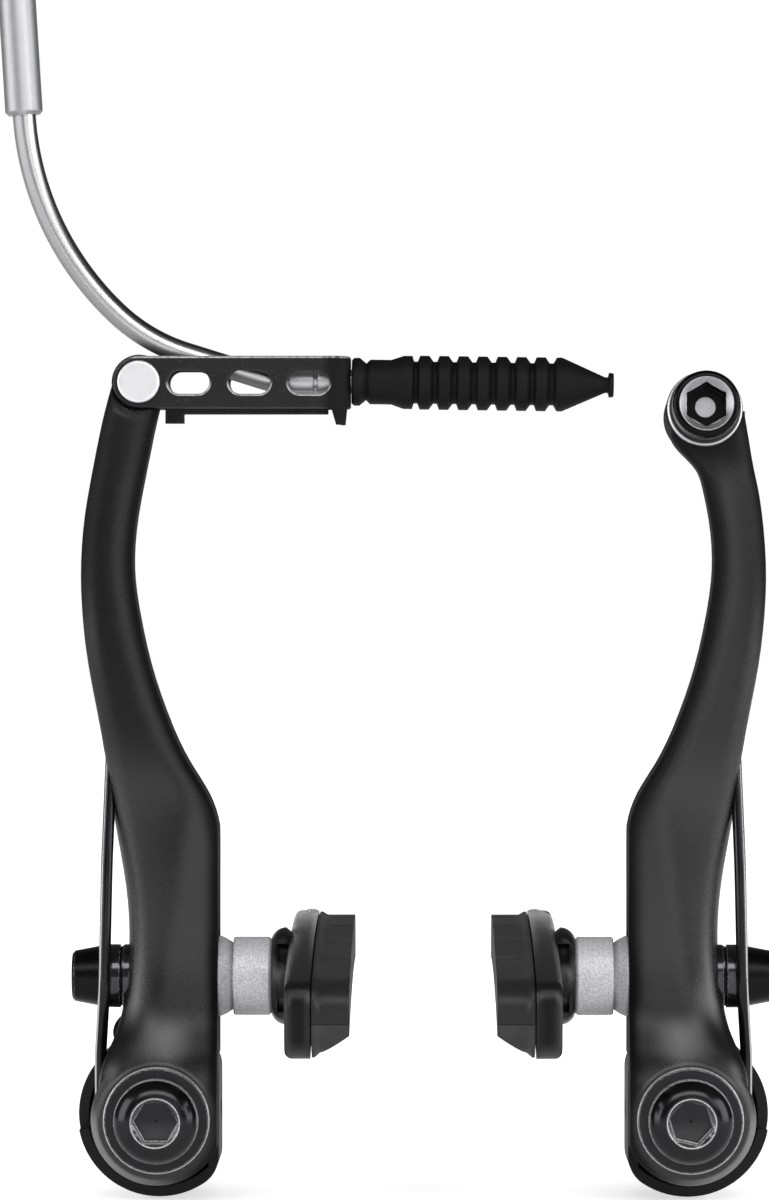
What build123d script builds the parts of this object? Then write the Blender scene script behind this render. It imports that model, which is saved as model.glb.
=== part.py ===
from build123d import *
from math import asin, cos, degrees, radians, sin
import os

# A linear-pull rim brake for a bicycle: two arms on two studs, a lead pipe in a swinging link on the
# left arm, the cable clamp on the right arm, and a brake shoe on each arm.
# X runs from the left arm to the right arm, Y runs backwards to the fork and Z runs up.
# The origin lies midway between the two studs, in the plane of the two shoe posts.

os.makedirs("parts", exist_ok=True)

# Studs and pivots
stud_spacing = 80.0
stud_hole = 8.2
bush_diameter = 10.0
bush_front = -11.15
bush_rear = 11.3
running_gap = 0.05
pivot_x = -stud_spacing / 2

# Arm
boss_radius = 10.0
boss_front = -11.0
boss_rear = -3.0
sleeve_radius = 6.6
sleeve_rear = 4.0
inner_seat = 8.95
outer_seat = -4.5
inner_round = 2.0
back_round = 2.4
crease_round = 5.0
outer_fall = 1.9
inner_fall = 0.35
shoulder_height = 48.0

# Pivot bolt and washer
pivot_washer_radius = 8.0
pivot_washer_thickness = 1.2
pivot_head_radius = 6.4
pivot_head_height = 3.8
pivot_mouth_radius = 3.6
pivot_key = 6.0
thread_radius = 2.9
shoulder_radius = 3.15
pivot_bolt_end = 7.2
left_bolt_turn = 0.0
right_bolt_turn = 13.0

# Spring holder and return spring
holder_radius = 12.4
holder_flat = 9.0
holder_corner = 5.0
holder_wall = 1.6
holder_front = -2.7
holder_floor = 5.0
holder_gap = 0.3
wire_radius = 0.9
coil_radius = 9.0
coil_plane = -1.5
left_lug_angle = 112.0
right_lug_angle = 88.0
spring_crank = -8.2
spring_knee_u = -7.8
spring_knee_height = 38.0
spring_tip_u = -7.2
spring_tip_height = 57.0

# Shoe post and its washers
post_height = 20.85
post_radius = 2.95
post_gap = 0.15
slot_width = 6.5
slot_length = 13.5
ball_radius = 6.5
ball_centre = 7.04
convex_radius = 6.1
spacer_radius = 5.95
spacer_start = 11.2
spacer_end = 17.0
outer_radius = 4.8
outer_ball_radius = 5.6
outer_split = -5.8
nut_start = -8.7
nut_end = -13.3

# Shoe: the rim's curve, the holder and the pad
rim_radius = 300.0
shoe_front = -38.0
shoe_rear = 32.0
shoe_tilt = 5.0
shoe_rise = 1.3
shoe_height = 11.6
shoe_corner = 3.0
shoe_back = 19.8
shoe_lip = 23.6
hub_radius = 7.4
channel_floor = 21.4
channel_height = 8.6
end_wall = 2.4
pad_start = 23.8
pad_face = 29.3
pad_height = 10.4
pad_foot = 11.2
pad_corner = 4.0
pad_groove_places = (-19.5, -6.0, 8.5, 22.0)
groove_width = 1.8
groove_depth = 3.7
pad_pin_place = 27.5
pad_pin_radius = 0.8

# Link, pin and lead pipe
pin_u = -3.05
pin_height = 111.0
pin_radius = 2.0
pin_head_radius = 3.2
eye_radius = 4.2
eye_half = 2.9
link_height = 7.9
link_skirt = 0.7
link_edge = 0.35
link_end = 29.0
link_half_gap = 3.1
sheet = 1.5
link_slots = (4.5, 13.7, 22.7)
pipe_radius = 1.75
pipe_bore = 1.25
lead_height = pin_height + 0.2
nose_start = 20.6
nose_end = 19.3
low_bend = 12.0
rise_length = 12.4
middle_bend = 27.0
high_bend = 45.4
ferrule_radius = 2.85
ferrule_bore = 2.5
ferrule_length = 17.6
ferrule_grip = 5.0

# Boot
boot_droop = 0.8
boot_length = 39.9
rib_pitch = 2.95
rib_count = 7
rib_radius = 4.1
valley_radius = 3.2

# Cable clamp
anchor_u = -2.5
anchor_height = pin_height - 4.2
anchor_boss_radius = 5.8
anchor_face = -4.6
anchor_tilt = 6.5
anchor_washer_radius = 5.65
anchor_washer_thickness = 1.3
anchor_head_radius = 5.1
anchor_head_height = 4.8
anchor_key = 5.9

# Local planes of the left side: local x runs inward and local y runs up on the front plane
front = Plane(origin=(pivot_x, 0, 0), x_dir=(1, 0, 0), z_dir=(0, -1, 0))
side = Plane(origin=(pivot_x, 0, 0), x_dir=(0, 1, 0), z_dir=(1, 0, 0))
plan = Plane(origin=(pivot_x, 0, 0), x_dir=(1, 0, 0), z_dir=(0, 0, 1))
pivot_axis = Axis((pivot_x, 0, 0), (0, 1, 0))
post_axis = Axis((pivot_x, 0, post_height), (1, 0, 0))


def front_at(y):
    """The front plane moved to depth y; extruding forwards is positive."""
    return front.offset(-y)


def side_at(u):
    """The side plane at the distance u inward of the left pivot."""
    return side.offset(u)


def save(piece, name):
    piece.part.label = name
    export_step(piece.part, f"parts/{name}.step")


def save_pair(piece, name):
    """Writes a left piece and its mirror image on the right arm."""
    save(piece, f"left_{name}")
    with BuildPart() as twin:
        mirror(piece.part, about=Plane.YZ)
    save(twin, f"right_{name}")


# Arms: sections as height, outer edge, inner edge, face, back, rounding of the outer corner, place of the
# crease on the face and how far the face falls away on each side of it
lower_arm = (
    (0, -9.9, 9.15, -11.0, 7.0, 3.0, -1.5, 0.3),
    (5, -8.9, 9.15, -11.0, 7.0, 3.2, -1.5, 0.3),
    (9, -7.95, 9.15, -10.8, 7.0, 3.6, -1.4, 0.4),
    (13, -6.3, 9.15, -9.3, 7.0, 3.8, -1.2, 0.6),
    (18, -5.25, 9.15, -7.9, 7.0, 3.6, -0.5, 0.9),
    (27, -4.55, 9.15, -7.5, 7.0, 3.4, 1.3, 1.0),
    (36, -5.25, 9.15, -7.5, 7.0, 3.4, 2.6, 1.0),
    (43, -6.5, 9.05, -7.4, 6.9, 3.4, 3.8, 1.0),
    (48, -7.3, 7.6, -7.3, 6.7, 3.2, 4.2, 0.9),
)
# Above the shoulder the heights are shares of the way from the shoulder to the link's pin
upper_arm = (
    (0.08, -8.05, 4.6, -7.1, 6.5, 3.2, 1.7, 0.7),
    (0.19, -9.2, 1.3, -6.8, 6.2, 3.0, -1.5, 0.5),
    (0.32, -10.75, -1.45, -6.5, 5.9, 2.8, -4.2, 0.4),
    (0.43, -11.6, -3.0, -6.2, 5.6, 2.7, -6.0, 0.35),
    (0.54, -11.9, -3.95, -5.9, 5.4, 2.6, -7.0, 0.3),
    (0.67, -11.4, -3.5, -5.5, 5.1, 2.5, -6.6, 0.3),
)
link_end_arm = (
    (0.79, -10.15, -2.1, -5.1, 4.8, 2.4, -5.2, 0.25),
    (0.89, -8.9, -0.8, -4.9, 4.6, 2.3, -4.2, 0.2),
    (0.95, -8.0, 0.1, -4.8, 4.5, 2.2, -3.4, 0.2),
    (1.0, -7.1, 0.9, -4.8, 4.5, 2.2, -2.8, 0.2),
)
clamp_end_arm = (
    (0.745, -10.7, -2.55, -5.3, 4.9, 2.4, -6.0, 0.25),
    (0.79, -10.1, -1.5, -5.2, 4.8, 2.4, -5.2, 0.25),
    (0.83, -9.65, 0.8, -5.0, 4.7, 2.4, -4.2, 0.2),
    (0.88, -9.15, 2.5, -4.8, 4.6, 2.4, -3.2, 0.2),
    (0.93, -8.75, 3.1, -4.6, 4.5, 2.4, -2.8, 0.2),
)

# The last straight run of the return spring, which lies in a slot of the arm
spring_knee = Vector(pivot_x + spring_knee_u, -5.6, spring_knee_height)
spring_tip = Vector(pivot_x + spring_tip_u, -2.2, spring_tip_height)
spring_run = (spring_tip - spring_knee).normalized()


def arm_section(height, outer, inner, face, back, outer_round, crease, fall):
    """One section of an arm: two facets meet in a soft crease on the face."""
    with BuildSketch(plan.offset(height)) as section:
        with BuildLine():
            Polyline(
                (outer, back),
                (outer, face + outer_fall * fall),
                (crease, face),
                (inner, face + inner_fall * fall),
                (inner, back),
                close=True,
            )
        make_face()
        outer_edge = section.vertices().group_by(Axis.X)[0].sort_by(Axis.Y)
        inner_edge = section.vertices().group_by(Axis.X)[-1].sort_by(Axis.Y)
        middle = section.vertices().sort_by(Axis.Y)[0]
        for corner, size in (
            (outer_edge[0], outer_round), (inner_edge[0], inner_round), (middle, crease_round),
            (outer_edge[-1], back_round), (inner_edge[-1], back_round),
        ):
            fillet(section.vertices().sort_by_distance(corner)[0], size)
    return section


def arm_blank(upper_end):
    reach = pin_height - shoulder_height
    stations = list(lower_arm)
    stations += [(shoulder_height + share * reach, *rest) for share, *rest in upper_arm + upper_end]
    sections = [arm_section(*station).sketch for station in stations]
    with BuildPart() as blank:
        loft(sections)
    return blank


def arm_boss():
    with BuildPart() as boss:
        with BuildSketch(front_at(boss_rear)):
            Circle(boss_radius)
        extrude(amount=boss_rear - boss_front)
        fillet(boss.edges().sort_by(Axis.Y)[0], 1.6)
    return boss


def shaped_arm(upper_end):
    """An arm with the boss, bore, post slot, seats and spring slot that both arms share."""
    blank = arm_blank(upper_end)
    boss = arm_boss()
    with BuildPart() as arm:
        add(blank.part)
        add(boss.part)
        with BuildSketch(front_at(boss_rear)):
            Circle(holder_radius + holder_gap)
        extrude(amount=-30, mode=Mode.SUBTRACT)
        with BuildSketch(front_at(boss_rear)):
            Circle(sleeve_radius)
        extrude(amount=boss_rear - sleeve_rear)
        with BuildSketch(side_at(inner_seat)):
            with Locations((0, 18)):
                Rectangle(60, 70)
        extrude(amount=20, mode=Mode.SUBTRACT)
        with BuildSketch(side_at(-20)):
            with Locations((0, post_height + 0.5)):
                SlotOverall(slot_length, slot_width, rotation=90)
        extrude(amount=60, mode=Mode.SUBTRACT)
        with BuildSketch(side_at(outer_seat)):
            with Locations((0, post_height)):
                Circle(outer_radius + 0.6)
        extrude(amount=-20, mode=Mode.SUBTRACT)
        with BuildSketch(front_at(-30)):
            Circle(bush_diameter / 2 + running_gap)
        extrude(amount=-60, mode=Mode.SUBTRACT)
        slot_start = spring_knee + spring_run * 4.0
        with BuildSketch(Plane(origin=slot_start, x_dir=(-1, 0, 0), z_dir=spring_run)):
            Circle(wire_radius + 0.15)
            with Locations((4, 0)):
                Rectangle(8, 2 * wire_radius + 0.3)
        extrude(amount=(spring_tip - slot_start).length + 0.2, mode=Mode.SUBTRACT)
    return arm


link_side = shaped_arm(link_end_arm)
clamp_side = shaped_arm(clamp_end_arm)

with BuildPart() as left_arm:
    add(link_side.part)
    # The eye between the link's plates
    for face in (eye_half + 0.05, -eye_half - 0.05):
        with BuildSketch(front_at(face)):
            with Locations((pin_u, pin_height)):
                Circle(link_height / 2 + 0.45)
            with Locations((pin_u + 5, pin_height + 0.8)):
                Rectangle(10, link_height + 2.2)
        extrude(amount=-10 if face > 0 else 10, mode=Mode.SUBTRACT)
    with BuildSketch(front_at(eye_half)):
        with Locations((pin_u, pin_height)):
            Circle(eye_radius)
    extrude(amount=2 * eye_half)
    with BuildSketch(front_at(-10)):
        with Locations((pin_u, pin_height)):
            Circle(pin_radius + running_gap)
    extrude(amount=-20, mode=Mode.SUBTRACT)
save(left_arm, "left_arm")

# The clamp's seat leans back with the upper arm, so its bolt points a little upward
anchor_plane = Plane(
    origin=(pivot_x + anchor_u, anchor_face, anchor_height),
    x_dir=(1, 0, 0),
    z_dir=(0, -cos(radians(anchor_tilt)), sin(radians(anchor_tilt))),
)

with BuildPart() as clamp_arm:
    add(clamp_side.part)
    with BuildSketch(anchor_plane):
        Circle(anchor_boss_radius)
    extrude(amount=-9.2)
    with BuildSketch(anchor_plane):
        Circle(anchor_boss_radius + 0.6)
    extrude(amount=6, mode=Mode.SUBTRACT)
    with BuildSketch(anchor_plane):
        Circle(post_radius + running_gap)
    extrude(amount=-20, mode=Mode.SUBTRACT)
with BuildPart() as right_arm:
    mirror(clamp_arm.part, about=Plane.YZ)
save(right_arm, "right_arm")

# Pivot hardware
with BuildPart() as pivot_bush:
    with BuildSketch(front_at(bush_rear)):
        Circle(bush_diameter / 2)
        Circle(stud_hole / 2, mode=Mode.SUBTRACT)
    extrude(amount=bush_rear - bush_front)
save_pair(pivot_bush, "pivot_bush")

with BuildPart() as pivot_washer:
    with BuildSketch(front_at(bush_front)):
        Circle(pivot_washer_radius)
        Circle(shoulder_radius + 0.1, mode=Mode.SUBTRACT)
    extrude(amount=pivot_washer_thickness)
    chamfer(pivot_washer.faces().sort_by(Axis.Y)[0].outer_wire().edges(), 0.3)
save_pair(pivot_washer, "pivot_washer")

head_seat = bush_front - pivot_washer_thickness
head_top = head_seat - pivot_head_height

def pivot_bolt(turn):
    """The domed bolt with its hexagon socket turned to an angle."""
    with BuildPart() as bolt:
        with BuildSketch(plan):
            with BuildLine():
                rim = Polyline(
                    (0, pivot_bolt_end),
                    (thread_radius - 0.6, pivot_bolt_end),
                    (thread_radius, pivot_bolt_end - 0.6),
                    (thread_radius, bush_front + 1.5),
                    (shoulder_radius, bush_front + 1.0),
                    (shoulder_radius, head_seat),
                    (pivot_head_radius, head_seat),
                    (pivot_head_radius, head_seat - 0.9),
                )
                dome = ThreePointArc(
                    (pivot_head_radius, head_seat - 0.9),
                    (pivot_head_radius - 0.75, head_top + 0.95),
                    (pivot_mouth_radius + 0.4, head_top),
                )
                Polyline((pivot_mouth_radius + 0.4, head_top), (0, head_top), (0, pivot_bolt_end))
            make_face()
        revolve(axis=pivot_axis)
        with BuildSketch(front_at(head_top)):
            RegularPolygon(pivot_key / 2, 6, major_radius=False, rotation=turn)
        extrude(amount=-3.4, mode=Mode.SUBTRACT)
        with BuildSketch(plan):
            with BuildLine():
                Polyline(
                    (0, head_top),
                    (pivot_mouth_radius, head_top),
                    (0, head_top + pivot_mouth_radius),
                    close=True,
                )
            make_face()
        revolve(axis=pivot_axis, mode=Mode.SUBTRACT)
    return bolt


left_bolt = pivot_bolt(left_bolt_turn)
save(left_bolt, "left_pivot_bolt")
right_bolt_twin = pivot_bolt(right_bolt_turn)
with BuildPart() as right_bolt:
    mirror(right_bolt_twin.part, about=Plane.YZ)
save(right_bolt, "right_pivot_bolt")


def spring_holder(lug_angle):
    """A cup behind the arm's boss, open to the front, with a window for the spring wire."""
    with BuildPart() as holder:
        with BuildSketch(front_at(bush_rear)):
            Circle(holder_radius)
            with Locations((holder_flat + 10, 0)):
                Rectangle(20, 40, mode=Mode.SUBTRACT)
        extrude(amount=bush_rear - holder_front)
        fillet(holder.edges().filter_by(Axis.Y), holder_corner)
        with BuildSketch(front_at(holder_floor)):
            Circle(holder_radius - holder_wall)
            with Locations((holder_flat - holder_wall + 10, 0)):
                Rectangle(20, 40, mode=Mode.SUBTRACT)
        extrude(amount=20, mode=Mode.SUBTRACT)
        with BuildSketch(front_at(bush_rear)):
            with PolarLocations(8.0, 1, start_angle=lug_angle):
                SlotOverall(15.0, 6.0)
        extrude(amount=3.6)
        with BuildSketch(front_at(20)):
            Circle(bush_diameter / 2 + running_gap)
        extrude(amount=40, mode=Mode.SUBTRACT)
        with BuildSketch(front_at(coil_plane + wire_radius + 0.7)):
            with BuildLine():
                start = PolarLine((0, 0), 16, 123)
                finish = PolarLine((0, 0), 16, 191)
                ThreePointArc(start @ 1, (16 * cos(radians(157)), 16 * sin(radians(157))), finish @ 1)
            make_face()
        extrude(amount=10, mode=Mode.SUBTRACT)
        # Hole for the pin that keys the holder to the fork, and the hole for the tension screw
        with BuildSketch(front_at(bush_rear)):
            with PolarLocations(9.0, 1, start_angle=250):
                Circle(1.2)
        extrude(amount=4.0, mode=Mode.SUBTRACT)
        with BuildSketch(side_at(holder_flat)):
            with Locations((8.2, 0)):
                Circle(1.5)
        extrude(amount=-3.7, mode=Mode.SUBTRACT)
    return holder


left_holder = spring_holder(left_lug_angle)
save(left_holder, "left_spring_holder")
right_twin = spring_holder(right_lug_angle)
with BuildPart() as right_holder:
    mirror(right_twin.part, about=Plane.YZ)
save(right_holder, "right_spring_holder")

with BuildPart() as stopper_pin:
    with BuildSketch(front_at(bush_rear + 4.6)):
        with PolarLocations(9.0, 1, start_angle=250):
            Circle(1.2)
    extrude(amount=8.6)
    chamfer(stopper_pin.edges().sort_by(Axis.Y)[-1], 0.4)
save_pair(stopper_pin, "stopper_pin")

with BuildPart() as tension_screw:
    with BuildSketch(side_at(holder_flat - 0.2)):
        with Locations((8.2, 0)):
            Circle(1.5)
    extrude(amount=-3.4)
    with BuildSketch(side_at(holder_flat - 0.2)):
        with Locations((8.2, 0)):
            RegularPolygon(0.8, 6, major_radius=False)
    extrude(amount=-1.6, mode=Mode.SUBTRACT)
save_pair(tension_screw, "tension_screw")

# Return spring: a hooked turn in the holder, then a leg cranked forward round the shoe nut
with BuildLine() as spring_line:
    with BuildLine(front_at(coil_plane)):
        turn = CenterArc((0, 0), coil_radius, 285, -105)
    leg = FilletPolyline(
        turn @ 1,
        (pivot_x - 9.0, coil_plane, 9.0),
        (pivot_x + spring_crank, -5.95, post_height - 2.5),
        spring_knee,
        spring_tip,
        radius=(7, 12, 30),
    )
with BuildPart() as return_spring:
    with BuildSketch(Plane(origin=turn @ 0, z_dir=turn % 0)):
        Circle(wire_radius)
    sweep(path=spring_line.wires()[0])
save_pair(return_spring, "return_spring")

# Shoe post hardware, all turned about the post's axis
def turned_ring(outline, arc_from, arc_over, arc_to):
    """A ring about the post's axis: straight sides through the outline, closed by one ball-shaped side."""
    with BuildPart() as ring:
        with BuildSketch(front):
            with BuildLine():
                Polyline(*[(u, post_height + r) for u, r in (arc_to, *outline, arc_from)])
                ThreePointArc(*[(u, post_height + r) for u, r in (arc_from, arc_over, arc_to)])
            make_face()
        revolve(axis=post_axis)
    return ring


def ball_point(centre, radius, distance):
    """The point of a ball's surface at a distance from the post's axis; a negative radius faces outward."""
    return (centre + (radius**2 - distance**2) ** 0.5 * (1 if radius > 0 else -1), distance)


bore = post_radius + post_gap
slack = 0.03
convex_washer = turned_ring(
    [(inner_seat, bore), (inner_seat, convex_radius)],
    ball_point(ball_centre, ball_radius, convex_radius),
    ball_point(ball_centre, ball_radius, 4.7),
    ball_point(ball_centre, ball_radius, bore),
)
save_pair(convex_washer, "convex_washer")

spacer_lip = (ball_radius**2 - (spacer_start - ball_centre) ** 2) ** 0.5
concave_spacer = turned_ring(
    [(spacer_end, bore), (spacer_end, spacer_radius - 0.4), (spacer_end - 0.4, spacer_radius)]
    + [(spacer_start + 0.2, spacer_radius), (spacer_start, spacer_radius - 0.2)],
    ball_point(ball_centre + slack, ball_radius, spacer_lip),
    ball_point(ball_centre + slack, ball_radius, 4.2),
    ball_point(ball_centre + slack, ball_radius, bore),
)
save_pair(concave_spacer, "concave_spacer")

outer_centre = outer_seat + 2.0
outer_convex_washer = turned_ring(
    [(outer_seat, bore), (outer_seat, outer_radius)],
    ball_point(outer_centre, -outer_ball_radius, outer_radius),
    ball_point(outer_centre, -outer_ball_radius, 4.0),
    ball_point(outer_centre, -outer_ball_radius, bore),
)
save_pair(outer_convex_washer, "outer_convex_washer")

outer_lip = (outer_ball_radius**2 - (outer_split - outer_centre) ** 2) ** 0.5
outer_concave_washer = turned_ring(
    [(nut_start, bore), (nut_start, outer_radius - 0.3), (nut_start + 0.3, outer_radius)]
    + [(outer_split - 0.2, outer_radius), (outer_split - 0.1, outer_lip)],
    ball_point(outer_centre - slack, -outer_ball_radius, outer_lip - 0.1),
    ball_point(outer_centre - slack, -outer_ball_radius, 3.8),
    ball_point(outer_centre - slack, -outer_ball_radius, bore),
)
save_pair(outer_concave_washer, "outer_concave_washer")

with BuildPart() as shoe_nut:
    with BuildSketch(front):
        with BuildLine():
            Polyline(
                (nut_start, post_height),
                (nut_start, post_height + 4.65),
                (nut_end + 0.4, post_height + 3.85),
                (nut_end, post_height + 3.45),
                (nut_end, post_height),
                close=True,
            )
        make_face()
    revolve(axis=post_axis)
    with BuildSketch(side_at(nut_start)):
        with Locations((0, post_height)):
            Circle(post_radius + 0.02)
    extrude(amount=-2.2, mode=Mode.SUBTRACT)
    with BuildSketch(side_at(nut_end)):
        with Locations((0, post_height)):
            RegularPolygon(2.5, 6, major_radius=False)
    extrude(amount=2.6, mode=Mode.SUBTRACT)
save_pair(shoe_nut, "shoe_nut")

post_head = channel_floor - 1.4
post_head_radius = 3.9
with BuildPart() as shoe_post:
    with BuildSketch(side_at(nut_start - 2.0)):
        with Locations((0, post_height)):
            Circle(post_radius)
    extrude(amount=post_head - nut_start + 2.0)
    chamfer(shoe_post.edges().sort_by(Axis.X)[0], 0.5)
    with BuildSketch(side_at(post_head)):
        with Locations((0, post_height)):
            Circle(post_head_radius)
    extrude(amount=1.4)
save_pair(shoe_post, "shoe_post")

# Brake shoe: a curved holder with a closed front end, and the rubber pad slid into its channel.
# It follows the rim's curve and is set nose down by the shoe's tilt about the post.
lean = radians(shoe_tilt)
shoe_plane = Plane(
    origin=(pivot_x, 0, post_height), x_dir=(0, cos(lean), sin(lean)), z_dir=(1, 0, 0)
)
shoe_section = Plane(
    origin=(pivot_x, 0, post_height), x_dir=(1, 0, 0), z_dir=(0, -cos(lean), -sin(lean))
)
rim_centre = (0, shoe_rise - rim_radius)
rim_axis = Axis(shoe_plane.from_local_coords((*rim_centre, 0)), (1, 0, 0))


def shoe_strip(u, height, front_end, rear_end, corner):
    """A strip along the rim's curve with rounded corners, drawn at the distance u."""
    front_angle = degrees(asin(front_end / rim_radius))
    rear_angle = degrees(asin(rear_end / rim_radius))
    with BuildSketch(shoe_plane.offset(u)) as strip:
        with BuildLine():
            over = CenterArc(rim_centre, rim_radius + height / 2, 90 - rear_angle, rear_angle - front_angle)
            under = CenterArc(rim_centre, rim_radius - height / 2, 90 - rear_angle, rear_angle - front_angle)
            Line(over @ 0, under @ 0)
            Line(over @ 1, under @ 1)
        make_face()
        fillet(strip.vertices(), corner)
    return strip.sketch


pin_rise = shoe_rise - rim_radius + (rim_radius**2 - pad_pin_place**2) ** 0.5
pad_pin_plane = Plane(
    origin=shoe_plane.from_local_coords((pad_pin_place, pin_rise, (channel_floor + shoe_lip) / 2)),
    x_dir=(1, 0, 0),
    z_dir=shoe_plane.y_dir,
)

with BuildPart() as shoe_holder:
    extrude(shoe_strip(shoe_back, shoe_height, shoe_front, shoe_rear, shoe_corner), amount=shoe_lip - shoe_back)
    fillet(shoe_holder.faces().sort_by(Axis.X)[0].edges(), 1.1)
    # Hub round the post, which carries the spacer, with pockets between its webs
    with BuildSketch(front):
        with BuildLine():
            Polyline((spacer_end, post_height), (spacer_end, post_height + spacer_radius))
            ThreePointArc(
                (spacer_end, post_height + spacer_radius),
                (spacer_end + 0.8, post_height + hub_radius - 0.45),
                (shoe_back - 0.6, post_height + hub_radius),
            )
            Polyline(
                (shoe_back - 0.6, post_height + hub_radius),
                (shoe_back + 0.6, post_height + hub_radius - 1.0),
                (shoe_back + 0.6, post_height),
                (spacer_end, post_height),
            )
        make_face()
    revolve(axis=post_axis)
    with BuildSketch(side_at(spacer_end + 0.9)):
        with Locations((0, post_height)):
            for web in (-34, 34, 146, 214):
                with PolarLocations(hub_radius - 0.2, 1, start_angle=web):
                    RegularPolygon(2.5, 3)
    extrude(amount=shoe_back - spacer_end - 0.9, mode=Mode.SUBTRACT)
    extrude(
        shoe_strip(channel_floor, channel_height, shoe_front + end_wall, shoe_rear + 6, 1.2),
        amount=10,
        mode=Mode.SUBTRACT,
    )
    with BuildSketch(side_at(channel_floor)):
        with Locations((0, post_height)):
            Circle(post_head_radius + 0.05)
    extrude(amount=-1.45, mode=Mode.SUBTRACT)
    with BuildSketch(side_at(0)):
        with Locations((0, post_height)):
            Circle(post_radius + 0.05)
    extrude(amount=30, mode=Mode.SUBTRACT)
    with BuildSketch(pad_pin_plane):
        Circle(pad_pin_radius + 0.05)
    extrude(amount=12, both=True, mode=Mode.SUBTRACT)
save_pair(shoe_holder, "shoe_holder")

with BuildPart() as brake_pad:
    # The foot lies in the channel; above the lip the pad narrows from its foot to the block
    extrude(
        shoe_strip(channel_floor + 0.1, channel_height - 0.3, shoe_front + end_wall + 0.2, shoe_rear - 0.4, 1.2),
        amount=pad_start - channel_floor,
    )
    extrude(shoe_strip(pad_start, pad_foot, shoe_front, shoe_rear, shoe_corner), amount=0.4)
    loft(
        [
            shoe_strip(pad_start + 0.4, pad_foot, shoe_front, shoe_rear, shoe_corner),
            shoe_strip(pad_start + 1.2, pad_height, shoe_front + 0.3, shoe_rear - 0.3, pad_corner),
        ]
    )
    extrude(
        shoe_strip(pad_start + 1.2, pad_height, shoe_front + 0.3, shoe_rear - 0.3, pad_corner),
        amount=pad_face - pad_start - 1.2,
    )
    # The lower edge of the face is bevelled all along the curve
    for way in (1, -1):
        with BuildSketch(shoe_section):
            with BuildLine():
                Polyline(
                    (pad_start + 0.4, shoe_rise - pad_foot / 2),
                    (pad_face + 0.1, shoe_rise - pad_height / 2 + 3.6),
                    (pad_face + 0.1, shoe_rise - 12),
                    (pad_start + 0.4, shoe_rise - 12),
                    close=True,
                )
            make_face()
        revolve(axis=rim_axis, revolution_arc=12 * way, mode=Mode.SUBTRACT)
    with BuildSketch(shoe_plane.offset(pad_face)):
        with Locations(*[(along, shoe_rise) for along in pad_groove_places]):
            Rectangle(groove_width, 30)
    extrude(amount=-groove_depth, mode=Mode.SUBTRACT)
    with BuildSketch(pad_pin_plane):
        Circle(pad_pin_radius + 0.05)
    extrude(amount=12, both=True, mode=Mode.SUBTRACT)
save_pair(brake_pad, "brake_pad")

with BuildPart() as pad_pin:
    with BuildSketch(pad_pin_plane.offset(-shoe_height / 2 + 0.2)):
        Circle(pad_pin_radius)
    extrude(amount=shoe_height)
save_pair(pad_pin, "pad_pin")

# Link: one strip of sheet bent round into a U, open above and below
link_bottom = pin_height - link_height / 2


def bent_sheet(low, high):
    """The U of the link between two heights."""
    with BuildPart() as bent:
        with BuildSketch(plan.offset(low)):
            with Locations((link_end - 30, 0)):
                RectangleRounded(60, 2 * (link_half_gap + sheet), 3.0)
            with Locations((link_end - sheet - 35, 0)):
                RectangleRounded(70, 2 * link_half_gap, 1.5, mode=Mode.SUBTRACT)
        extrude(amount=high - low)
    return bent


with BuildPart() as finger_tab:
    add(bent_sheet(link_bottom - 4, link_bottom + 1).part)
    with BuildSketch(front_at(-10)):
        with BuildLine():
            Polyline(
                (link_end - 3.1, link_bottom + 0.5),
                (link_end - 0.5, link_bottom + 0.5),
                (link_end - 0.8, link_bottom - 2.5),
                (link_end - 2.2, link_bottom - 2.5),
                close=True,
            )
        make_face()
    extrude(amount=-10, mode=Mode.INTERSECT)

with BuildPart() as lead_link:
    add(bent_sheet(link_bottom - 1, link_bottom + link_height + 1).part)
    with BuildSketch(front_at(-10)):
        with Locations((pin_u, pin_height)):
            Circle(link_height / 2)
        with Locations(((pin_u + link_end + 1) / 2, pin_height)):
            Rectangle(link_end + 1 - pin_u, link_height)
    extrude(amount=-20, mode=Mode.INTERSECT)
    with BuildSketch(front_at(-10)):
        with Locations(*[(u, pin_height) for u in link_slots]):
            SlotOverall(6.3, 3.6)
    extrude(amount=-20, mode=Mode.SUBTRACT)
    plates = lead_link.faces().filter_by(Axis.Y).sort_by(Axis.Y)
    fillet([*plates[0].edges(), *plates[-1].edges().filter_by(GeomType.LINE)], link_edge)
    with BuildSketch(front_at(-10)):
        with Locations((pin_u, pin_height)):
            Circle(pin_radius + 0.02)
    extrude(amount=-20, mode=Mode.SUBTRACT)
    # Keyhole for the pipe's nose, open at the top
    with BuildSketch(side_at(link_end - sheet - 1)):
        with Locations((0, lead_height)):
            Circle(2.1)
        with Locations((0, lead_height + 4)):
            Rectangle(2.4, 8)
    extrude(amount=5, mode=Mode.SUBTRACT)
    add(finger_tab.part)
    # The rear plate hangs lower than the front one and carries the stop tab that meets the arm
    with BuildSketch(front_at(link_half_gap + sheet)):
        with Locations(((link_end - 2.0) / 2, link_bottom)):
            Rectangle(link_end - 5.0, 2 * link_skirt)
        with Locations((pin_u + 5.1, link_bottom - 0.75)):
            Rectangle(2.9, 2.7)
    extrude(amount=sheet)
save(lead_link, "lead_link")

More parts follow.
